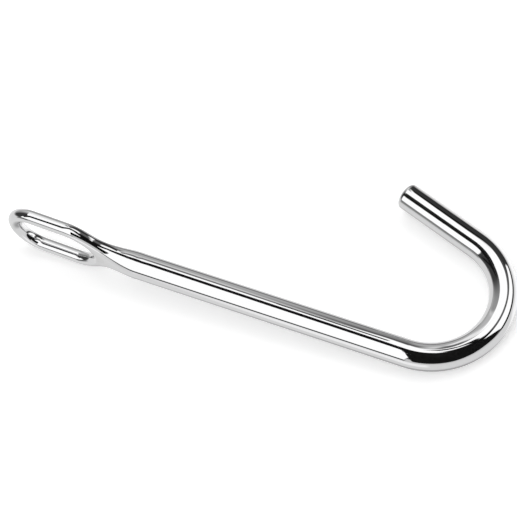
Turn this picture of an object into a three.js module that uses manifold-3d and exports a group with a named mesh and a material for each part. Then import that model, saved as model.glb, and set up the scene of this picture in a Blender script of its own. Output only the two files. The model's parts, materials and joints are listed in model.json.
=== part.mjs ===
// A heavy butcher's hook: a solid round bar bent into a hook, with an oblong
// eye of thinner rod welded to its shank through a flattened neck.
// The eye stands square to the plane of the hook. Millimetres, +Z up, and the
// hook lies on a level surface, on the side of its eye and on its bend.

import * as THREE from 'three';
import { LoftGeometry } from 'three/addons/geometries/LoftGeometry.js';
import { mergeVertices } from 'three/addons/utils/BufferGeometryUtils.js';
import Module from 'manifold-3d';

// Driving dimensions.
const barDiameter = 12;
const bendRadius = 30; // to the middle of the bar
const bendAngle = THREE.MathUtils.degToRad(160);
const shankLength = 122; // from the neck's weld to the start of the bend
const tipLegLength = 40; // straight length after the bend
const tipEdgeRadius = 2.2;

const rodDiameter = 6;
const eyeOuterWidth = 30;
const eyeLegLength = 17; // straight length of each side of the eye
const legRunIn = 18; // length over which a side draws in towards the neck
const runInTangent = 6.8; // how gently it leaves the straight and meets the neck
const rodEndOffset = 4.8; // middle of each rod's end from the shank's axis
const rodEndSlope = THREE.MathUtils.degToRad(24);

const neckLength = 18; // from the weld on the bar to the ends of the rod
const neckHalfWidth = 8.1; // at the ends of the rod
const neckHalfThickness = 3.2;
const neckSquareness = 1.2; // how far the flat end departs from an ellipse

const webDepth = 7; // from the ends of the rod to the bottom of the eye
const webReach = 10.5; // how far the web runs up along the rods
const webOverlap = 1; // how far its outline passes under the rods before it is cut
const webThickness = 5.6;
const webScoopRadius = 7.8; // round bottom of the eye

const eyeLean = 0.028; // slope of the eye off the plane Y = 0, towards the tip's side
const leanStart = 5; // from the ends of the rod to where it starts to lean
const leanEase = 6; // length over which the lean comes in

const weldGap = 0.3; // between pieces that are welded face to face
const bendContactAngle = THREE.MathUtils.degToRad(83); // where the bend touches the table

// Smoothness of the round surfaces.
const barSides = 32;
const rodSides = 24;
const bendSteps = 40;
const arcSteps = 28;

const barRadius = barDiameter / 2;
const rodRadius = rodDiameter / 2;
const eyeHalfWidth = eyeOuterWidth / 2 - rodRadius; // to the middle of the rod

// Places along the shank's axis. The bend starts at X = 0 and the shank runs
// towards -X.
const barEndX = -shankLength;
const rodEndX = barEndX - neckLength;
const legEndX = rodEndX - legRunIn;
const arcCentreX = legEndX - eyeLegLength;

const steel = {
  bar: new THREE.MeshStandardMaterial({ color: 0xd1d1d2, roughness: 0.06, metalness: 1 }),
  rod: new THREE.MeshStandardMaterial({ color: 0xd0d0d1, roughness: 0.07, metalness: 1 }),
  neck: new THREE.MeshStandardMaterial({ color: 0xd0d0d1, roughness: 0.08, metalness: 1 }),
  web: new THREE.MeshStandardMaterial({ color: 0xcdcdcd, roughness: 0.1, metalness: 1 })
};

// A round section of a bar that runs along `direction` in the plane whose
// normal is `planeNormal`. Its points turn counterclockwise as seen from ahead.
function roundSection(centre, direction, planeNormal, radius, sides) {
  const side = new THREE.Vector3().crossVectors(planeNormal, direction).normalize();
  return Array.from({ length: sides }, (_, i) => {
    const angle = (i / sides) * 2 * Math.PI;
    return centre.clone()
      .addScaledVector(side, radius * Math.cos(angle))
      .addScaledVector(planeNormal, radius * Math.sin(angle));
  });
}

// Slides a section's points along `direction` until they lie at one X.
function mitreAtX(section, direction, x) {
  return section.map((point) =>
    point.clone().addScaledVector(direction, (x - point.x) / direction.x));
}

// The hook's own bar: straight shank, bend, straight tip leg, and a flat end
// with a rounded edge. Its middle line lies in the plane Z = 0.
function hookBarGeometry() {
  const up = new THREE.Vector3(0, 0, 1);
  const sectionAt = (x, y, turn, radius = barRadius) => {
    const direction = new THREE.Vector3(Math.cos(turn), Math.sin(turn), 0);
    return roundSection(new THREE.Vector3(x, y, 0), direction, up, radius, barSides);
  };
  const sections = [sectionAt(barEndX, 0, 0)];
  for (let step = 0; step <= bendSteps; step++) {
    const turn = (step / bendSteps) * bendAngle;
    sections.push(sectionAt(bendRadius * Math.sin(turn), bendRadius * (1 - Math.cos(turn)), turn));
  }
  const edgeSteps = 4;
  for (let step = 0; step <= edgeSteps; step++) {
    const angle = (step / edgeSteps) * (Math.PI / 2);
    const along = tipLegLength - tipEdgeRadius * (1 - Math.sin(angle));
    const radius = barRadius - tipEdgeRadius * (1 - Math.cos(angle));
    const x = bendRadius * Math.sin(bendAngle) + along * Math.cos(bendAngle);
    const y = bendRadius * (1 - Math.cos(bendAngle)) + along * Math.sin(bendAngle);
    sections.push(sectionAt(x, y, bendAngle, radius));
  }
  return new LoftGeometry(sections, { capStart: true, capEnd: true });
}

// The eye's middle line in the plane Y = 0: from the upper rod end, out along
// the upper side, round the far end, and back along the lower side.
function eyePath() {
  const drawInCurve = (side) => {
    return new THREE.CubicBezierCurve3(
      new THREE.Vector3(rodEndX, 0, side * rodEndOffset),
      new THREE.Vector3(
        rodEndX - runInTangent * Math.cos(rodEndSlope), 0,
        side * (rodEndOffset + runInTangent * Math.sin(rodEndSlope))),
      new THREE.Vector3(legEndX + runInTangent, 0, side * eyeHalfWidth),
      new THREE.Vector3(legEndX, 0, side * eyeHalfWidth));
  };
  const stations = [];
  const drawInSteps = 10;
  for (let step = 0; step <= drawInSteps; step++) {
    const curve = drawInCurve(1);
    const t = step / drawInSteps;
    stations.push({ point: curve.getPoint(t), direction: curve.getTangent(t) });
  }
  for (let step = 0; step <= arcSteps; step++) {
    const turn = (step / arcSteps) * Math.PI;
    stations.push({
      point: new THREE.Vector3(
        arcCentreX - eyeHalfWidth * Math.sin(turn), 0, eyeHalfWidth * Math.cos(turn)),
      direction: new THREE.Vector3(-Math.cos(turn), 0, -Math.sin(turn))
    });
  }
  for (let step = drawInSteps; step >= 0; step--) {
    const curve = drawInCurve(-1);
    const t = step / drawInSteps;
    stations.push({ point: curve.getPoint(t), direction: curve.getTangent(t).negate() });
  }
  return stations;
}

// The rod swept along the eye's path, with both ends cut square to the shank.
function eyeRodGeometry(radius, endX) {
  const planeNormal = new THREE.Vector3(0, 1, 0);
  const stations = eyePath();
  const sections = stations.map(({ point, direction }) =>
    roundSection(point, direction, planeNormal, radius, rodSides));
  for (const end of [0, stations.length - 1]) {
    sections[end] = mitreAtX(sections[end], stations[end].direction, endX);
  }
  return new LoftGeometry(sections, { capStart: true, capEnd: true });
}

// The neck: round where it meets the bar, and flattened and spread where the
// two rod ends meet it.
function neckGeometry() {
  const neckSteps = 12;
  const startX = rodEndX + weldGap / 2;
  const endX = barEndX - weldGap / 2;
  const sections = [];
  for (let step = 0; step <= neckSteps; step++) {
    const x = THREE.MathUtils.lerp(startX, endX, step / neckSteps);
    const spread = ((endX - x) / (endX - startX)) ** 2;
    const halfWidth = THREE.MathUtils.lerp(barRadius, neckHalfWidth, spread);
    const halfThickness = THREE.MathUtils.lerp(barRadius, neckHalfThickness, spread);
    const power = 2 / (2 + neckSquareness * spread);
    sections.push(Array.from({ length: barSides }, (_, i) => {
      const angle = (i / barSides) * 2 * Math.PI;
      const across = Math.sign(Math.cos(angle)) * Math.abs(Math.cos(angle)) ** power;
      const through = Math.sign(Math.sin(angle)) * Math.abs(Math.sin(angle)) ** power;
      return new THREE.Vector3(x, halfThickness * across, halfWidth * through);
    }));
  }
  return new LoftGeometry(sections, { capStart: true, capEnd: true });
}

// Joins and cuts of closed meshes.
const wasm = await Module();
wasm.setup();

function toSolid(geometry) {
  const bare = geometry.index ? geometry.toNonIndexed() : geometry.clone();
  bare.deleteAttribute('normal');
  bare.deleteAttribute('uv');
  const merged = mergeVertices(bare);
  return new wasm.Manifold(new wasm.Mesh({
    numProp: 3,
    vertProperties: merged.attributes.position.array,
    triVerts: new Uint32Array(merged.index.array)
  }));
}

function toGeometry(solid) {
  const { vertProperties, triVerts } = solid.getMesh();
  const geometry = new THREE.BufferGeometry();
  geometry.setAttribute('position', new THREE.BufferAttribute(vertProperties, 3));
  geometry.setIndex(new THREE.BufferAttribute(triVerts, 1));
  geometry.computeVertexNormals();
  return geometry;
}

// The weld metal that closes the eye between the two rod ends. Its round
// bottom is the inner end of the eye.
function webGeometry() {
  const scoopCentreX = rodEndX - webDepth - webScoopRadius;
  const scoopEndAngle = Math.acos((rodEndX - webReach - scoopCentreX) / webScoopRadius);
  const webEndHalfWidth = eyeHalfWidth - rodRadius + webOverlap;
  const outline = new THREE.Shape();
  outline.moveTo(rodEndX - weldGap / 2, rodEndOffset);
  outline.lineTo(rodEndX - webReach, webEndHalfWidth);
  outline.absarc(scoopCentreX, 0, webScoopRadius, scoopEndAngle, -scoopEndAngle, true);
  outline.lineTo(rodEndX - webReach, -webEndHalfWidth);
  outline.lineTo(rodEndX - weldGap / 2, -rodEndOffset);
  outline.closePath();
  const plate = new THREE.ExtrudeGeometry(outline, {
    depth: webThickness, bevelEnabled: false, curveSegments: 16
  });
  plate.translate(0, 0, -webThickness / 2);
  plate.rotateX(Math.PI / 2);
  const rodWithGap = toSolid(eyeRodGeometry(rodRadius + weldGap, rodEndX + rodRadius));
  return toGeometry(toSolid(plate).subtract(rodWithGap));
}

// Shifts each point of a piece of the eye sideways, more and more towards its far end.
function lean(geometry) {
  const position = geometry.attributes.position;
  for (let i = 0; i < position.count; i++) {
    const beyond = rodEndX - leanStart - position.getX(i);
    const shift = eyeLean * (beyond + Math.hypot(beyond, leanEase)) / 2;
    position.setY(i, position.getY(i) + shift);
  }
  geometry.computeVertexNormals();
  return geometry;
}

function namedMesh(name, geometry, material) {
  const mesh = new THREE.Mesh(geometry, material);
  mesh.name = name;
  return mesh;
}

const hook = new THREE.Group();
hook.add(namedMesh('hook_bar', hookBarGeometry(), steel.bar));
hook.add(namedMesh('neck', neckGeometry(), steel.neck));
hook.add(namedMesh('eye_rod', lean(eyeRodGeometry(rodRadius, rodEndX - weldGap / 2)), steel.rod));
hook.add(namedMesh('eye_web', lean(webGeometry()), steel.web));

// The eye is wider than the bar is thick, so the hook lies tipped: it rests on
// the lower side of the eye and on the outside of the bend, and turns down
// about the line that is tangent to the bend there.
const contactSpan = -legEndX * Math.sin(bendContactAngle)
  + bendRadius * (1 - Math.cos(bendContactAngle));
const tipping = Math.asin((eyeOuterWidth / 2 - barRadius) / contactSpan);
const tippingAxis = new THREE.Vector3(Math.cos(bendContactAngle), Math.sin(bendContactAngle), 0);
hook.quaternion.setFromAxisAngle(tippingAxis, tipping);

// The part's origin is under the middle of the hook, on the surface it lies on.
const part = new THREE.Group();
part.add(hook);
const box = new THREE.Box3().setFromObject(part, true);
const middle = box.getCenter(new THREE.Vector3());
hook.position.set(-middle.x, -middle.y, -box.min.z);

export default part;
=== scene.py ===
"""Looks of a polished butcher's hook: round bar bent into a hook, with an oblong
rod eye joined to its shank through a flattened neck.

The hook is shaped in its own frame, in millimetres: the bend starts at X = 0, the
shank runs towards -X, the middle line of the bar lies in the plane Z = 0, the tip
is on the +Y side and the eye stands in the plane Y = 0. It is then laid down as
the CAD frame has it.
"""

import json
import math

import bmesh
import bpy
import numpy as np
from mathutils import Matrix, Vector


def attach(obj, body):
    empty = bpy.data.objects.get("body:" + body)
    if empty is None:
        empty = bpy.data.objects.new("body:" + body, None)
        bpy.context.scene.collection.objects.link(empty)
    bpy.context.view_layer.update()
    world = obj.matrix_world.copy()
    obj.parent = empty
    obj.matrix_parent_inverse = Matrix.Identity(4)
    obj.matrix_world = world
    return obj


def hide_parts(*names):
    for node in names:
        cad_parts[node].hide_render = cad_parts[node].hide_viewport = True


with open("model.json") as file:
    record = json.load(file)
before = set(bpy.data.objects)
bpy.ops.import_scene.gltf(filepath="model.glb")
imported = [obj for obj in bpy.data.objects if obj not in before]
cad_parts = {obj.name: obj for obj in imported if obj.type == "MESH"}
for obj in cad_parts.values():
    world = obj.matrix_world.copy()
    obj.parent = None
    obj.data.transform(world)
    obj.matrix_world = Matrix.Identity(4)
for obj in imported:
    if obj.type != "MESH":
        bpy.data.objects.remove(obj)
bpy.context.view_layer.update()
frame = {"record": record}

MM = 0.001

# ---------------------------------------------------------------- driving sizes, mm
BAR_RADIUS = 6.0
BEND_RADIUS = 30.0
BEND_ANGLE = math.radians(160)
TIP_LEG = 40.0
TIP_EDGE_RADIUS = 2.2
ROD_RADIUS = 3.0
EYE_HALF_WIDTH = 12.0  # to the middle of the rod
FAR_ARC_X = -175.0  # centre of the eye's far end
LEG_END_X = -158.0  # the eye's sides are straight up to here
NECK_LEFT_X = -140.0  # where the rod meets the neck
NECK_RIGHT_X = -122.0  # where the neck meets the bar
CROTCH_X = -147.0  # inner end of the eye, next to the neck
BEND_CONTACT_ANGLE = math.radians(83)  # where the bend touches the floor

BAR_SIDES = 120
GRID_STEP = 0.45  # of the mesh round the eye and the neck


# ---------------------------------------------------------------- the hook laid down
def laid_down():
    """The matrix from the hook's own frame in mm to the row frame in metres."""
    span = -LEG_END_X * math.sin(BEND_CONTACT_ANGLE)
    span += BEND_RADIUS * (1 - math.cos(BEND_CONTACT_ANGLE))
    tipping = math.asin((EYE_HALF_WIDTH + ROD_RADIUS - BAR_RADIUS) / span)
    axis = Vector((math.cos(BEND_CONTACT_ANGLE), math.sin(BEND_CONTACT_ANGLE), 0))
    turn = Matrix.Rotation(tipping, 4, axis)
    tip = Vector(tip_leg_point(TIP_LEG)).to_4d()
    mounts = {m["name"]: m for m in frame["record"]["mounts"]}
    where = Vector(mounts["tip_end"]["pos_m"])
    scaled = turn @ Matrix.Scale(MM, 4)
    return Matrix.Translation(where - (scaled @ tip).to_3d()) @ scaled


def tip_leg_point(along):
    """A point on the tip leg's middle line, a length after the end of the bend."""
    x = BEND_RADIUS * math.sin(BEND_ANGLE) + along * math.cos(BEND_ANGLE)
    y = BEND_RADIUS * (1 - math.cos(BEND_ANGLE)) + along * math.sin(BEND_ANGLE)
    return (x, y, 0.0)


place = laid_down()


def add_piece(name, mesh, node):
    """Links a mesh made in the hook's own frame as the piece that stands for a node."""
    mesh.transform(place)
    piece = bpy.data.objects.new(name, mesh)
    bpy.context.scene.collection.objects.link(piece)
    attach(piece, "root")
    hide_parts(node)
    return piece


# ---------------------------------------------------------------- the bar
def bar_stations():
    """(centre, turn, radius) of each ring from the neck to the edge of the tip."""
    stations = []
    shank_rings = 44
    for i in range(shank_rings):
        x = NECK_RIGHT_X * (1 - i / shank_rings)
        stations.append(((x, 0.0, 0.0), 0.0, BAR_RADIUS))
    bend_rings = 160
    for i in range(bend_rings + 1):
        turn = BEND_ANGLE * i / bend_rings
        x = BEND_RADIUS * math.sin(turn)
        y = BEND_RADIUS * (1 - math.cos(turn))
        stations.append(((x, y, 0.0), turn, BAR_RADIUS))
    leg_rings = 14
    leg_end = TIP_LEG - TIP_EDGE_RADIUS
    for i in range(1, leg_rings + 1):
        stations.append((tip_leg_point(leg_end * i / leg_rings), BEND_ANGLE, BAR_RADIUS))
    edge_rings = 8
    for i in range(1, edge_rings + 1):
        angle = math.pi / 2 * i / edge_rings
        along = leg_end + TIP_EDGE_RADIUS * math.sin(angle)
        radius = BAR_RADIUS - TIP_EDGE_RADIUS * (1 - math.cos(angle))
        stations.append((tip_leg_point(along), BEND_ANGLE, radius))
    return stations


def lengths_along(stations):
    """How far along the bar each ring is."""
    centres = np.array([centre for centre, _, _ in stations])
    return np.concatenate([[0], np.cumsum(np.linalg.norm(np.diff(centres, axis=0), axis=1))])


def add_grain(mesh, straightened):
    """Keeps, for the finish, where each point was in the metal before it was bent, in mm."""
    grain = mesh.attributes.new("grain", "FLOAT_VECTOR", "POINT")
    grain.data.foreach_set("vector", straightened.ravel())


def bar_mesh():
    stations = bar_stations()
    radii = [radius for _, _, radius in stations]
    around = np.linspace(0, 2 * np.pi, BAR_SIDES, endpoint=False)
    verts = []
    for (x, y, z), turn, radius in stations:
        sideways = (-math.sin(turn), math.cos(turn))
        for a in around:
            out = radius * math.cos(a)
            verts.append((x + sideways[0] * out, y + sideways[1] * out, radius * math.sin(a)))
    faces = []
    for ring in range(len(stations) - 1):
        for i in range(BAR_SIDES):
            j = (i + 1) % BAR_SIDES
            low, high = ring * BAR_SIDES, (ring + 1) * BAR_SIDES
            faces.append((low + i, low + j, high + j, high + i))
    last = (len(stations) - 1) * BAR_SIDES
    faces.append(tuple(reversed(range(BAR_SIDES))))
    faces.append(tuple(last + i for i in range(BAR_SIDES)))
    mesh = bpy.data.meshes.new("hook_bar_polished")
    mesh.from_pydata(verts, [], faces)
    bm = bmesh.new()
    bm.from_mesh(mesh)
    bmesh.ops.recalc_face_normals(bm, faces=bm.faces)
    caps = [face for face in bm.faces if len(face.verts) > 4]
    for face in bm.faces:
        face.smooth = face not in caps
    cap_at_neck = min(caps, key=lambda cap: cap.calc_center_median().x)
    for rim_edge in cap_at_neck.edges:
        rim_edge.smooth = False
    bm.to_mesh(mesh)
    bm.free()
    add_grain(mesh, np.array([(s, radius * math.cos(a), radius * math.sin(a))
                              for s, radius in zip(lengths_along(stations), radii)
                              for a in around]))
    return mesh


# ---------------------------------------------------------------- the eye and the neck
# The eye and the neck are one smooth body: everything within a radius of a flat
# core that lies in the plane Y = 0. The core is the middle line of the rod, filled
# in between the two sides from the crotch to the bar. The radius is the rod's
# round the eye, and grows to the bar's along the neck.
DRAW_IN = np.array([(LEG_END_X, EYE_HALF_WIDTH), (-147.5, EYE_HALF_WIDTH),
                    (-141.5, 0.0), (NECK_RIGHT_X, 0.0)])
CROTCH_LEAVES = 0.2  # how far along the draw-in curve the crotch leaves it
CROTCH_RUN = 4.5  # how far the crotch keeps the draw-in curve's heading
CROTCH_FLANK_Z = 5.6  # how broad its round end is
SWELL_START_X = -145.0  # from here towards the bar the radius grows
SWELL_LENGTH = 21.0
LEAN_START_X = -145.0
LEAN_SLOPE = 0.028
LEAN_EASE = 6.0


def bezier(p, t):
    t = np.asarray(t)[..., None]
    return ((1 - t) ** 3 * p[0] + 3 * (1 - t) ** 2 * t * p[1]
            + 3 * (1 - t) * t ** 2 * p[2] + t ** 3 * p[3])


def bezier_slope(p, t):
    t = np.asarray(t)[..., None]
    return 3 * ((1 - t) ** 2 * (p[1] - p[0]) + 2 * (1 - t) * t * (p[2] - p[1])
                + t ** 2 * (p[3] - p[2]))


def bezier_bend(p, t):
    t = np.asarray(t)[..., None]
    return 6 * ((1 - t) * (p[2] - 2 * p[1] + p[0]) + t * (p[3] - 2 * p[2] + p[1]))


def crotch_curve():
    """From the rod's middle line round to the middle of the crotch."""
    start = bezier(DRAW_IN, CROTCH_LEAVES)
    heading = bezier_slope(DRAW_IN, CROTCH_LEAVES)
    heading = heading / np.linalg.norm(heading)
    end_x = CROTCH_X + ROD_RADIUS
    return np.array([start, start + CROTCH_RUN * heading,
                     (end_x, CROTCH_FLANK_Z), (end_x, 0.0)])


CROTCH = crotch_curve()


def distance_to_bezier(points, p):
    """Distance in the plane from each (x, z) point to a cubic curve."""
    coarse = np.linspace(0, 1, 33)
    gap = points[:, None, :] - bezier(p, coarse)[None]
    t = coarse[np.argmin(np.einsum("ijk,ijk->ij", gap, gap), 1)]
    for _ in range(6):
        off = bezier(p, t) - points
        slope = bezier_slope(p, t)
        lean = np.einsum("ij,ij->i", off, slope)
        rise = np.einsum("ij,ij->i", slope, slope)
        rise = rise + np.einsum("ij,ij->i", off, bezier_bend(p, t))
        t = np.clip(t - lean / np.maximum(rise, 1.0), 0, 1)
    return np.linalg.norm(bezier(p, t) - points, axis=1)


def distance_to_core(x, z):
    """Distance in the plane Y = 0 from the core, which is zero inside it."""
    z = np.abs(z)
    flat = np.stack([x, z], 1)
    far_end = np.abs(np.hypot(x - FAR_ARC_X, z) - EYE_HALF_WIDTH)
    side = np.hypot(x - np.clip(x, FAR_ARC_X, LEG_END_X), z - EYE_HALF_WIDTH)
    away = np.where(x < FAR_ARC_X, far_end, side)
    shank = np.hypot(np.maximum(NECK_RIGHT_X - x, 0), z)
    away = np.minimum(away, shank)
    near = x > LEG_END_X - 2 * ROD_RADIUS
    for curve in (DRAW_IN, CROTCH):
        away[near] = np.minimum(away[near], distance_to_bezier(flat[near], curve))
    steps = np.linspace(0, 1, 400)
    edge = bezier(DRAW_IN, steps)
    inner = bezier(CROTCH, steps)
    filled = z < np.interp(x, edge[:, 0], edge[:, 1])
    filled &= x > np.interp(-z, -inner[:, 1], inner[:, 0])
    filled &= x > inner[0, 0]
    away[filled] = 0
    return away


def edge_radius(x):
    t = np.clip((x - SWELL_START_X) / SWELL_LENGTH, 0, 1)
    return ROD_RADIUS + (BAR_RADIUS - ROD_RADIUS) * t * t * (3 - 2 * t)


def eye_lean(x):
    """How far the middle of the rod stands off the plane Y = 0: the eye leans a little."""
    beyond = LEAN_START_X - x
    return LEAN_SLOPE * (beyond + np.hypot(beyond, LEAN_EASE)) / 2


def eye_field(points):
    """Below zero inside the eye and the neck, above zero outside."""
    away = distance_to_core(points[:, 0], points[:, 2])
    off_plane = points[:, 1] - eye_lean(points[:, 0])
    return np.hypot(away, off_plane) - edge_radius(points[:, 0])


def field_gradient(points, h=0.01):
    slope = np.empty_like(points)
    for axis in range(3):
        step = np.zeros(3)
        step[axis] = h
        slope[:, axis] = (eye_field(points + step) - eye_field(points - step)) / (2 * h)
    return slope


def drop_to_surface(points, rounds):
    for _ in range(rounds):
        slope = field_gradient(points)
        size = np.maximum(np.einsum("ij,ij->i", slope, slope), 1e-6)
        points = points - slope * (eye_field(points) / size)[:, None]
    return points


def surface_net(low, high, step):
    """Quads round the zero level of the field, one point in each cell it crosses."""
    axes = [np.linspace(a, b, int(round((b - a) / step)) + 1) for a, b in zip(low, high)]
    shape = [len(a) for a in axes]
    xx, zz = np.meshgrid(axes[0], axes[2], indexing="ij")
    away = distance_to_core(xx.ravel(), zz.ravel()).reshape(xx.shape)
    off_plane = axes[1][None, :] - eye_lean(axes[0])[:, None]
    field = np.hypot(away[:, None, :], off_plane[:, :, None])
    inside = field < edge_radius(axes[0])[:, None, None]
    count = np.zeros([n - 1 for n in shape], int)
    for corner in np.ndindex(2, 2, 2):
        count += inside[tuple(slice(c, c + n - 1) for c, n in zip(corner, shape))]
    crossed = (count > 0) & (count < 8)
    index = np.full(crossed.shape, -1)
    index[crossed] = np.arange(crossed.sum())
    cells = np.argwhere(crossed)
    half = [(a[1] - a[0]) / 2 for a in axes]
    points = np.stack([axes[k][cells[:, k]] + half[k] for k in range(3)], 1)
    quads = []
    for k in range(3):
        u, v = (k + 1) % 3, (k + 2) % 3
        ahead = np.take(inside, range(1, shape[k]), k)
        behind = np.take(inside, range(0, shape[k] - 1), k)
        for leaving, change in ((True, behind & ~ahead), (False, ahead & ~behind)):
            at = np.argwhere(change)
            at = at[(at[:, u] > 0) & (at[:, v] > 0)
                    & (at[:, u] < shape[u] - 1) & (at[:, v] < shape[v] - 1)]
            ring = []
            for du, dv in ((-1, -1), (0, -1), (0, 0), (-1, 0)):
                cell = at.copy()
                cell[:, u] += du
                cell[:, v] += dv
                ring.append(index[tuple(cell.T)])
            quads.append(np.stack(ring if leaving else ring[::-1], 1))
    return points, np.concatenate(quads)


def evened(points, quads, right_x, rounds=8):
    """Slides the points along the surface until the quads are even."""
    ends = np.concatenate([np.roll(quads, -k, 1)[:, :2] for k in range(4)])
    ends = np.concatenate([ends, ends[:, ::-1]])
    count = np.bincount(ends[:, 0], minlength=len(points))[:, None]
    free = (points[:, 0] < right_x)[:, None] & (count > 0)
    for _ in range(rounds):
        total = np.stack([np.bincount(ends[:, 0], points[ends[:, 1], k], len(points))
                          for k in range(3)], 1)
        middle = total / np.maximum(count, 1)
        points = np.where(free, (points + middle) / 2, points)
        points = drop_to_surface(points, 1)
    return drop_to_surface(points, 2)


def eye_body():
    margin = 4 * GRID_STEP
    reach_z = EYE_HALF_WIDTH + ROD_RADIUS + margin
    reach_y = BAR_RADIUS + margin
    left = FAR_ARC_X - EYE_HALF_WIDTH - ROD_RADIUS - margin
    right = NECK_RIGHT_X + margin
    points, quads = surface_net((left, -reach_y, -reach_z), (right, reach_y, reach_z),
                                GRID_STEP)
    points = evened(drop_to_surface(points, 3), quads, right - 2 * GRID_STEP)
    bm = bmesh.new()
    verts = [bm.verts.new(p) for p in points]
    for quad in quads:
        bm.faces.new([verts[i] for i in quad])
    bmesh.ops.delete(bm, geom=[v for v in bm.verts if not v.link_faces], context="VERTS")
    bmesh.ops.recalc_face_normals(bm, faces=bm.faces)
    return bm


# The planes that part the weld web from the rod's two sides, in the upper half:
# a point on the plane, and how fast it falls towards the bar.
WEB_PLANE_X = -146.0
WEB_PLANE_Z = 4.6
WEB_PLANE_FALL = 0.48
WEB_LEFT_X = -154.0


def web_edge_z(x):
    return WEB_PLANE_Z - WEB_PLANE_FALL * (x - WEB_PLANE_X)


def close_rims(bm):
    rims = [e for e in bm.edges if e.is_boundary]
    caps = bmesh.ops.edgeloop_fill(bm, edges=rims)["faces"]
    bmesh.ops.recalc_face_normals(bm, faces=bm.faces)
    return caps


def clipped(body, x, keep):
    """A closed copy of the part of a body on one side of a plane across the shank."""
    bm = body.copy()
    geom = bm.verts[:] + bm.edges[:] + bm.faces[:]
    bmesh.ops.bisect_plane(bm, geom=geom, plane_co=(x, 0, 0), plane_no=(-keep, 0, 0),
                           clear_outer=True, dist=1e-5)
    close_rims(bm)
    return bm


def part_web(eye):
    """Parts the eye into the bent rod and the weld web between its sides."""
    for side in (1, -1):
        faces = [f for f in eye.faces if f.calc_center_median().x > WEB_LEFT_X]
        geom = {e for f in faces for e in f.edges} | {v for f in faces for v in f.verts}
        bmesh.ops.bisect_plane(eye, geom=list(geom) + faces, dist=1e-5,
                               plane_co=(WEB_PLANE_X, 0, side * WEB_PLANE_Z),
                               plane_no=(WEB_PLANE_FALL, 0, side))
    parts = []
    for want_web in (False, True):
        bm = eye.copy()
        unwanted = []
        for face in bm.faces:
            middle = face.calc_center_median()
            in_web = middle.x > WEB_LEFT_X and abs(middle.z) < web_edge_z(middle.x)
            if in_web != want_web:
                unwanted.append(face)
        bmesh.ops.delete(bm, geom=unwanted, context="FACES")
        close_rims(bm)
        parts.append(bm)
    return parts


CUT_FACE_CORNERS = 8  # a face with more corners than this closes a cut
CUT_FACE_LEAN = 0.6  # so does one whose normal agrees with the field's less than this


def eye_mesh(bm, name):
    """A mesh whose curved faces take the field's own normals; cut faces stay flat."""
    mesh = bpy.data.meshes.new(name)
    bm.to_mesh(mesh)
    bm.free()
    points = np.empty(len(mesh.vertices) * 3)
    mesh.vertices.foreach_get("co", points)
    points = points.reshape(-1, 3)
    slope = field_gradient(points)
    slope /= np.linalg.norm(slope, axis=1)[:, None]
    normals = np.empty((len(mesh.loops), 3))
    for face in mesh.polygons:
        flat = np.array(face.normal)
        own = slope[list(face.vertices)]
        is_cut = len(face.vertices) > CUT_FACE_CORNERS or (own @ flat).min() < CUT_FACE_LEAN
        face.use_smooth = True
        for k, loop in enumerate(face.loop_indices):
            normals[loop] = flat if is_cut else own[k]
    mesh.normals_split_custom_set(normals)
    add_grain(mesh, unbent_rod(points))
    return mesh


def unbent_rod(points):
    """Where each point of the eye lay in the rod before it was bent; the neck's stay put."""
    x, y, z = points.T
    turn = np.arctan2(FAR_ARC_X - x, np.abs(z))
    round_end = x < FAR_ARC_X
    along = np.where(round_end, FAR_ARC_X - turn * EYE_HALF_WIDTH, x)
    reach = np.where(round_end, np.hypot(x - FAR_ARC_X, z), np.abs(z))
    return np.stack([along, y - eye_lean(x), reach * np.sign(z)], 1)


body = eye_body()
neck = clipped(clipped(body, NECK_RIGHT_X, -1), NECK_LEFT_X, 1)
rod, web = part_web(clipped(body, NECK_LEFT_X, -1))

bar_piece = add_piece("hook_bar_polished", bar_mesh(), "hook_bar")
neck_piece = add_piece("neck_forged", eye_mesh(neck, "neck_forged"), "neck")
rod_piece = add_piece("eye_rod_polished", eye_mesh(rod, "eye_rod_polished"),
                      "eye_rod")
web_piece = add_piece("eye_web_weld", eye_mesh(web, "eye_web_weld"),
                      "eye_web")


# ---------------------------------------------------------------- finish
class Finish:
    """Makes and joins the nodes of one material."""

    def __init__(self, name):
        self.material = bpy.data.materials.new(name)
        self.material.use_nodes = True
        self.tree = self.material.node_tree
        self.shader = self.tree.nodes["Principled BSDF"]

    def node(self, kind, inputs, **settings):
        node = self.tree.nodes.new(kind)
        for key, value in settings.items():
            setattr(node, key, value)
        for key, value in inputs.items():
            if isinstance(value, bpy.types.NodeSocket):
                self.tree.links.new(value, node.inputs[key])
            else:
                node.inputs[key].default_value = value
        return node

    def noise(self, vector, stretch, detail):
        """Noise with this many lumps to the mm in each direction."""
        scaled = self.node("ShaderNodeVectorMath", {0: vector, 1: stretch},
                           operation="MULTIPLY").outputs["Vector"]
        return self.node("ShaderNodeTexNoise", {"Vector": scaled, "Scale": 1.0,
                                                "Detail": detail}).outputs["Fac"]

    def remap(self, value, low, high, out_low, out_high):
        return self.node("ShaderNodeMapRange", {
            "Value": value, "From Min": low, "From Max": high,
            "To Min": out_low, "To Max": out_high}).outputs["Result"]

    def math(self, operation, a, b):
        return self.node("ShaderNodeMath", {0: a, 1: b}, operation=operation).outputs[0]


COLOR_A, COLOR_B, COLOR_RESULT = 6, 7, 2  # a Mix node's sockets for colours
BUFF_DEPTH = 4e-7  # metres
MARK_DEPTH = 1.5e-6


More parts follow.
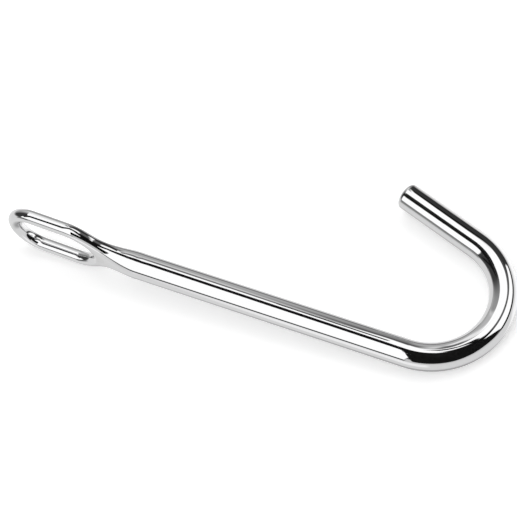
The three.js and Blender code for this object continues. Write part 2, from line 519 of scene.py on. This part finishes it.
def polished(name, tint, roughness, waviness):
    """Mirror-polished stainless steel: faint buff lines along the metal, fine
    scratches, a haze that comes and goes, and the slight waviness of hand polishing."""
    finish = Finish(name)
    grain = finish.node("ShaderNodeAttribute", {}, attribute_name="grain").outputs["Vector"]
    buff = finish.noise(grain, (0.05, 3.0, 3.0), 5.0)
    haze = finish.noise(grain, (0.06, 0.12, 0.12), 4.0)
    waves = finish.noise(grain, (0.035, 0.09, 0.09), 1.0)
    hair = finish.remap(finish.noise(grain, (0.02, 7.0, 7.0), 2.0), 0.68, 0.76, 0.0, 1.0)
    nick = finish.remap(finish.noise(grain, (1.1, 0.9, 0.9), 2.0), 0.76, 0.8, 0.0, 1.0)

    shader = finish.shader
    links = finish.tree.links
    shader.inputs["Metallic"].default_value = 1.0
    dark = tuple(0.955 * c for c in tint)
    shade = finish.node("ShaderNodeMix", {
        "Factor": finish.math("MULTIPLY", haze, buff),
        COLOR_A: (*tint, 1), COLOR_B: (*dark, 1)}, data_type="RGBA").outputs[COLOR_RESULT]
    links.new(shade, shader.inputs["Base Color"])

    rough = finish.remap(haze, 0.35, 0.7, 0.6 * roughness, 1.4 * roughness)
    rough = finish.math("ADD", rough, finish.math("MULTIPLY", buff, 0.4 * roughness))
    rough = finish.math("ADD", rough, finish.math("MULTIPLY", hair, 0.10))
    rough = finish.math("ADD", rough, finish.math("MULTIPLY", nick, 0.12))
    links.new(rough, shader.inputs["Roughness"])

    wavy = finish.node("ShaderNodeBump", {
        "Height": waves, "Strength": 1.0, "Distance": waviness}).outputs["Normal"]
    lined = finish.node("ShaderNodeBump", {
        "Height": buff, "Strength": 1.0, "Distance": BUFF_DEPTH, "Normal": wavy}).outputs["Normal"]
    marked = finish.node("ShaderNodeBump", {
        "Height": finish.math("ADD", hair, nick), "Strength": 1.0, "Distance": MARK_DEPTH,
        "Normal": lined}, invert=True).outputs["Normal"]
    links.new(marked, shader.inputs["Normal"])
    return finish.material


BAR_TINT = (0.64, 0.64, 0.645)
WELD_TINT = (0.62, 0.62, 0.62)
for piece, tint, roughness, waviness in (
        (bar_piece, BAR_TINT, 0.035, 1e-5), (neck_piece, BAR_TINT, 0.045, 2e-5),
        (rod_piece, BAR_TINT, 0.04, 1e-5), (web_piece, WELD_TINT, 0.06, 3e-5)):
    piece.data.materials.append(polished("polish_" + piece.name, tint, roughness, waviness))


# ---------------------------------------------------------------- floor, light, camera
FLOOR_GLOW = 0.34  # the floor gives off a little light, so the shadow on it stays faint


def add_floor():
    """A plain white floor. The polish sees the table in the world's lower half instead."""
    bpy.ops.mesh.primitive_plane_add(size=4.0, location=(0, 0, 0))
    floor = bpy.context.object
    floor.name = "floor"
    mat = bpy.data.materials.new("pale_floor")
    mat.use_nodes = True
    shader = mat.node_tree.nodes["Principled BSDF"]
    shader.inputs["Base Color"].default_value = (0.9, 0.9, 0.9, 1)
    shader.inputs["Roughness"].default_value = 0.9
    shader.inputs["Specular IOR Level"].default_value = 0.1
    shader.inputs["Emission Color"].default_value = (1, 1, 1, 1)
    shader.inputs["Emission Strength"].default_value = FLOOR_GLOW
    floor.data.materials.append(mat)
    floor.visible_glossy = False


add_floor()

CAMERA_PLACE = Vector((0.2130, -0.2808, 0.5588))
CAMERA_AZIMUTH = math.radians(38.53)  # from +Y towards -X, of the way it looks
CAMERA_DOWN = math.radians(58.15)
CAMERA_ROLL = math.radians(17.75)
CAMERA_LENS = 103.47


def add_camera():
    data = bpy.data.cameras.new("camera")
    data.lens = CAMERA_LENS
    data.sensor_width = 36.0
    data.clip_start = 0.01
    camera = bpy.data.objects.new("camera", data)
    turn = Matrix.Rotation(CAMERA_AZIMUTH, 4, "Z")
    tilt = Matrix.Rotation(math.pi / 2 - CAMERA_DOWN, 4, "X")
    roll = Matrix.Rotation(-CAMERA_ROLL, 4, "Z")
    camera.matrix_world = Matrix.Translation(CAMERA_PLACE) @ turn @ tilt @ roll
    bpy.context.scene.collection.objects.link(camera)
    bpy.context.scene.camera = camera


add_camera()

# ---------------------------------------------------------------- the studio
# Directions in the room are given either as points on a ceiling one unit above the
# hook, (x, y), or as an azimuth from +Y towards +X and an elevation, in degrees.


def ceiling(x, y):
    return Vector((x, y, 1)).normalized()


def aim(azimuth, elevation):
    a, e = math.radians(azimuth), math.radians(elevation)
    return Vector((math.sin(a) * math.cos(e), math.cos(a) * math.cos(e), math.sin(e)))


def edge(start, end, inside):
    """A straight edge between two directions, as (normal, offset) facing inside."""
    normal = start.cross(end).normalized()
    return (normal if normal.dot(inside) > 0 else -normal, 0.0)


def above(elevation):
    return (Vector((0, 0, 1)), math.sin(math.radians(elevation)))


def below(elevation):
    return (Vector((0, 0, -1)), -math.sin(math.radians(elevation)))


def between(left, right):
    """The edges of a sector from one azimuth round to another."""
    middle = aim((left + right) / 2, 0)
    return [edge(aim(side, 0), aim(side, 30), middle) for side in (left, right)]


SOFTBOX = 1.58
# Each panel: its brightness, how soft its edges are, and its edges. A later panel
# covers an earlier one.
PANELS = [
    # dark side of the room, to the left
    (0.06, 0.05, [edge(aim(-130, 5), aim(-119, 49), aim(-100, 20)), above(0)]),
    # grey wall and ceiling behind, on the left
    (0.45, 0.2, [edge(ceiling(-0.5, 0.32), ceiling(-2.4, 0.55), ceiling(-1, 2)),
                 edge(ceiling(-0.35, 0.6), ceiling(-0.55, 2.4), ceiling(-1, 2))]),
    # pale ceiling over it, and the dark gap that parts it from the softbox overhead
    (1.25, 0.03, [edge(ceiling(-0.6, 0.6), ceiling(-0.2, 0.4), ceiling(-1, 2)),
                  edge(ceiling(-0.21, 0.45), ceiling(-0.47, 1.0), ceiling(-1, 2))]),
    (0.7, 0.05, [edge(ceiling(-0.6, 0.6), ceiling(-0.2, 0.4), ceiling(-1, 2)),
                 edge(aim(-39, 0), aim(-39, 30), aim(-60, 30))]),
    (0.95, 0.05, [edge(ceiling(-0.191, 0.64), ceiling(-0.469, 1.12), ceiling(-0.5, 3)),
                  edge(ceiling(-0.235, 0.85), ceiling(-0.4, 1.3), ceiling(-1, 2))]),
    (0.2, 0.02, [edge(ceiling(-0.191, 0.64), ceiling(-0.469, 1.12), ceiling(-0.5, 0.6)),
                 edge(ceiling(-0.1756, 0.44), ceiling(-0.388, 0.74), ceiling(0, 1.5)),
                 edge(ceiling(-0.54, 0.5), ceiling(-0.54, 1.5), ceiling(0, 1)),
                 edge(ceiling(-0.235, 0.5), ceiling(-0.235, 1.5), ceiling(-1, 1))]),
    # lighter wall behind, on the left, and its darker foot
    (0.6, 0.1, [edge(ceiling(-0.5, 1.9), ceiling(-2.4, 1.9), ceiling(-1, 3)),
                edge(ceiling(-0.26, 1.3), ceiling(-0.5, 2.4), ceiling(-1, 3))]),
    (0.5, 0.1, [edge(aim(-80, 5), aim(-20, 5), aim(-50, 0)),
                edge(aim(-12, 0), aim(-12, 20), aim(-50, 5))]),
    # dim wall behind
    (0.05, 0.05, [edge(aim(-7, 0), aim(-8, 30), aim(10, 10)),
                  edge(aim(30, 0), aim(26, 30), aim(10, 10)),
                  edge(aim(-8, 44), aim(30, 44), aim(10, 10))]),
    # dim ceiling between the two softboxes
    (0.16, 0.08, [edge(ceiling(0.3, 0.25), ceiling(0.8, 0.25), ceiling(0.6, 1)),
                  edge(ceiling(0.3, 1.2), ceiling(0.8, 1.2), ceiling(0.6, 1)),
                  edge(ceiling(0.3, 0.2), ceiling(0.3, 1.2), ceiling(0.6, 1))]),
    # pale front of the room, low on the camera's side
    (0.82, 0.03, [edge(aim(90, 5), aim(165, 24), aim(130, 0)),
                  edge(aim(82, 0), aim(84, 20), aim(130, 0)),
                  edge(aim(-172, 0), aim(-173, 20), aim(130, 0))]),
    # softbox overhead
    (SOFTBOX, 0.02, [edge(ceiling(-0.7, 0.68), ceiling(-0.3, 0.66), ceiling(0, 0)),
                     edge(ceiling(-0.1756, 0.44), ceiling(-0.388, 0.74), ceiling(-1, 0)),
                     edge(ceiling(-0.66, -0.6), ceiling(-0.66, -0.1), ceiling(0, 0)),
                     edge(ceiling(-0.66, -0.1), ceiling(-1.0, 0.5), ceiling(0, 0)),
                     edge(ceiling(-1, -0.6), ceiling(1, -0.6), ceiling(0, 0)),
                     edge(ceiling(0.5, -0.6), ceiling(0.5, 0.5), ceiling(0, 0))]),
    # black ceiling behind it, and the softbox's narrow and broad ends that reach into that
    (0.005, 0.03, [edge(ceiling(-0.175, 0.5), ceiling(-0.175, 1), ceiling(0, 0.8)),
                   edge(ceiling(0.02, 0.5), ceiling(0.02, 1), ceiling(-0.1, 0.8)),
                   edge(ceiling(-1, 0.6), ceiling(1, 0.6), ceiling(0, 0.8)),
                   edge(ceiling(-1, 1.1), ceiling(1, 1.1), ceiling(0, 0.8))]),
    (SOFTBOX, 0.012, [edge(ceiling(-0.12, 0.61), ceiling(-0.16, 0.77), ceiling(-0.2, 0.4)),
                      edge(ceiling(-0.23, 0.3), ceiling(-0.23, 0.8), ceiling(-0.15, 0.4)),
                      edge(ceiling(-0.08, 0.3), ceiling(-0.08, 0.8), ceiling(-0.15, 0.4)),
                      edge(ceiling(-0.3, 0.25), ceiling(0, 0.25), ceiling(-0.15, 0.4))]),
    (SOFTBOX, 0.03, [edge(ceiling(-0.11, 0.3), ceiling(-0.11, 0.8), ceiling(0.15, 0.6)),
                     edge(ceiling(0.44, 0.3), ceiling(0.44, 0.9), ceiling(0.15, 0.6)),
                     edge(ceiling(-0.1, 0.88), ceiling(0.4, 0.88), ceiling(0.15, 0.6)),
                     edge(ceiling(-0.14, 0.6), ceiling(0.05, 0.9), ceiling(0.15, 0.6)),
                     edge(ceiling(0.44, 0.7), ceiling(0.25, 0.9), ceiling(0.15, 0.6)),
                     edge(ceiling(-0.1, 0.2), ceiling(0.4, 0.2), ceiling(0.15, 0.6))]),
    # large softbox in front, on the left
    (SOFTBOX, 0.015, [edge(aim(-171.5, 6), aim(-177, 45), aim(-150, 20)),
                      edge(ceiling(-2.4, -1.8), ceiling(-0.85, -0.5), ceiling(-0.5, -2)),
                      edge(ceiling(-1.0, -0.5), ceiling(0, -0.5), ceiling(-0.5, -2)),
                      above(9.2)]),
    # large softbox behind, on the right
    (SOFTBOX, 0.02, [edge(ceiling(0.42, 1.12), ceiling(1.1, 2.4), ceiling(2, 1)),
                     edge(ceiling(0.45, -0.05), ceiling(2.4, 0.32), ceiling(2, 1)),
                     edge(ceiling(0.78, 0.3), ceiling(0.8, 1.2), ceiling(2, 1)),
                     above(12)]),
    # the pale table as the polish sees it: bright behind on the right and in front,
    # dim under the hook and where the flag and its arm shade it
    (1.0, 0.03, [below(-1)]),
    (1.4, 0.1, [*between(-4, 62), below(-15)]),
    (1.3, 0.06, [*between(165, 200), below(-4), above(-28)]),
    (0.13, 0.1, [*between(-34, -2), below(0), above(-14)]),
    (0.2, 0.05, [*between(-150, -124), below(0), above(-11)]),
    (0.42, 0.13, [below(-63)]),
]
ROOM = 0.008  # the rest of the room is black
BACKDROP = 0.95  # what the camera sees past the floor


def build_world():
    world = bpy.data.worlds.new("studio")
    bpy.context.scene.world = world
    world.use_nodes = True
    tree = world.node_tree
    background = tree.nodes["Background"]
    direction = tree.nodes.new("ShaderNodeTexCoord").outputs["Generated"]

    def math_node(operation, a, b):
        node = tree.nodes.new("ShaderNodeMath")
        node.operation = operation
        for socket, value in zip(node.inputs, (a, b)):
            if isinstance(value, bpy.types.NodeSocket):
                tree.links.new(value, socket)
            else:
                socket.default_value = value
        return node.outputs[0]

    def inside(normal, offset, soft):
        dot = tree.nodes.new("ShaderNodeVectorMath")
        dot.operation = "DOT_PRODUCT"
        tree.links.new(direction, dot.inputs[0])
        dot.inputs[1].default_value = normal
        step = tree.nodes.new("ShaderNodeMapRange")
        step.interpolation_type = "SMOOTHSTEP"
        step.inputs["From Min"].default_value = offset - soft
        step.inputs["From Max"].default_value = offset + soft
        tree.links.new(dot.outputs["Value"], step.inputs["Value"])
        return step.outputs["Result"]

    light = ROOM
    for brightness, soft, edges in PANELS:
        cover = 1.0
        for normal, offset in edges:
            cover = math_node("MULTIPLY", inside(normal, offset, soft), cover)
        rest = math_node("SUBTRACT", 1.0, cover)
        light = math_node("ADD", math_node("MULTIPLY", light, rest),
                          math_node("MULTIPLY", brightness, cover))
    seen = tree.nodes.new("ShaderNodeLightPath").outputs["Is Camera Ray"]
    unseen = math_node("SUBTRACT", 1.0, seen)
    total = math_node("ADD", math_node("MULTIPLY", light, unseen),
                      math_node("MULTIPLY", BACKDROP, seen))
    tree.links.new(total, background.inputs["Color"])


build_world()


# The black flag that hangs close over the hook, with its arm out to the left, and two
# thin black rails next to it, the second one lower: only the polish sees them. Each
# has its shade and its outlines, in metres.
FLAGS = {
    # the flag, its edge that leans up over the shank, and its arm
    "flag": (0.01, [[(0.052, -0.014, 0.15), (0.157, -0.0275, 0.15), (0.45, 0.028, 0.15),
                     (0.9, 0.11, 0.15), (0.9, -0.9, 0.15), (0.09, -0.9, 0.15),
                     (0.066, -0.3, 0.15), (0.057, -0.068, 0.15)],
                    [(0.052, -0.006, 0.234), (0.0327, 0.0082, 0.234), (0.044, -0.0586, 0.135),
                     (0.06, -0.064, 0.135)],
                    [(0.0327, 0.0082, 0.234), (-0.0137, 0.024, 0.234),
                     (0.002, -0.0495, 0.135), (0.044, -0.0586, 0.135)],
                    [(-0.0137, 0.024, 0.234), (-0.0667, 0.0414, 0.234),
                     (-0.045, -0.041, 0.135), (0.002, -0.0495, 0.135)],
                    [(-0.3, -0.17, 0.15), (-0.143, -0.044, 0.15), (-0.085, 0.0225, 0.15),
                     (-0.05, 0.012, 0.15), (-0.03, 0.006, 0.15), (-0.03, -0.044, 0.15),
                     (-0.05, -0.041, 0.15), (-0.085, -0.033, 0.15),
                     (-0.143, -0.095, 0.15), (-0.3, -0.24, 0.15)]]),
    "rail": (0.01, [[(0.066, 0.045, 0.15), (0.062, 0.036, 0.15), (0.078, 0.018, 0.15),
                     (0.103, 0.012, 0.15), (0.143, -0.004, 0.15), (0.143, 0.008, 0.15),
                     (0.105, 0.025, 0.15), (0.084, 0.03, 0.15)]]),
    "low_rail": (0.03, [[(0.055, 0.001, 0.1), (0.0417, 0.0019, 0.1), (0.019, 0.0056, 0.1),
                        (-0.0034, 0.0108, 0.1), (-0.0034, 0.026, 0.1), (0.019, 0.0245, 0.1),
                        (0.0417, 0.022, 0.1), (0.055, 0.02, 0.1)]]),
}


def add_flag(name, shade, outlines):
    mesh = bpy.data.meshes.new(name)
    verts = [corner for outline in outlines for corner in outline]
    faces = []
    for outline in outlines:
        first = sum(len(face) for face in faces)
        faces.append(range(first, first + len(outline)))
    mesh.from_pydata(verts, [], faces)
    mat = bpy.data.materials.new(name)
    mat.use_nodes = True
    shader = mat.node_tree.nodes["Principled BSDF"]
    shader.inputs["Base Color"].default_value = (shade, shade, shade, 1)
    shader.inputs["Roughness"].default_value = 1.0
    shader.inputs["Specular IOR Level"].default_value = 0.0
    mesh.materials.append(mat)
    flag = bpy.data.objects.new(name, mesh)
    bpy.context.scene.collection.objects.link(flag)
    flag.visible_camera = False
    flag.visible_diffuse = False
    flag.visible_shadow = False


for flag_name, (shade, outlines) in FLAGS.items():
    add_flag(flag_name, shade, outlines)


def add_overhead_light():
    data = bpy.data.lights.new("overhead", "AREA")
    data.shape = "SQUARE"
    data.size = 2.2
    data.energy = 3.0
    light = bpy.data.objects.new("overhead", data)
    light.location = (0, 0, 1.3)
    light.visible_glossy = False
    light.visible_camera = False
    bpy.context.scene.collection.objects.link(light)


add_overhead_light()
bpy.context.scene.view_settings.view_transform = "Standard"
